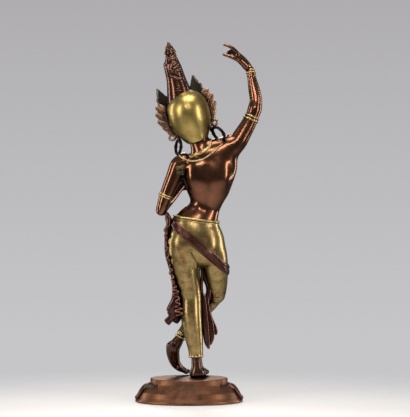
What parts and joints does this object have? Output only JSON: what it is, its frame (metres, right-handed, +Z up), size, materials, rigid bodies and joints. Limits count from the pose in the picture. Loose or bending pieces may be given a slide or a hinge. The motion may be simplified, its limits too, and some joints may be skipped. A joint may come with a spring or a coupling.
{
  "type": "standing goddess statue",
  "caption": "Cast copper-alloy goddess standing cross-legged on an oval lotus pedestal, one arm raised over the crowned head, the other hand at the breast.",
  "frame": {"origin": "middle of the pedestal's flat underside", "axes": "+Z up along the figure, -Y the way the figure faces, +X towards the figure's left hand"},
  "size_m": [0.1289, 0.0749, 0.3602],
  "materials": {
    "patinated_copper": "polished, brown patina, worn to pink copper on the high places",
    "gilded_copper": "satin, rubbed yellow gilding with a punched ground on the cloth",
    "dark_copper": "dark red-brown patina with rubbed ridges",
    "red_copper": "smooth, reddish brown, darker in the corners"
  },
  "bodies": {
    "root": {"goddess_figure": "patinated_copper", "lotus_pedestal": "red_copper"}
  },
  "joints": []
}
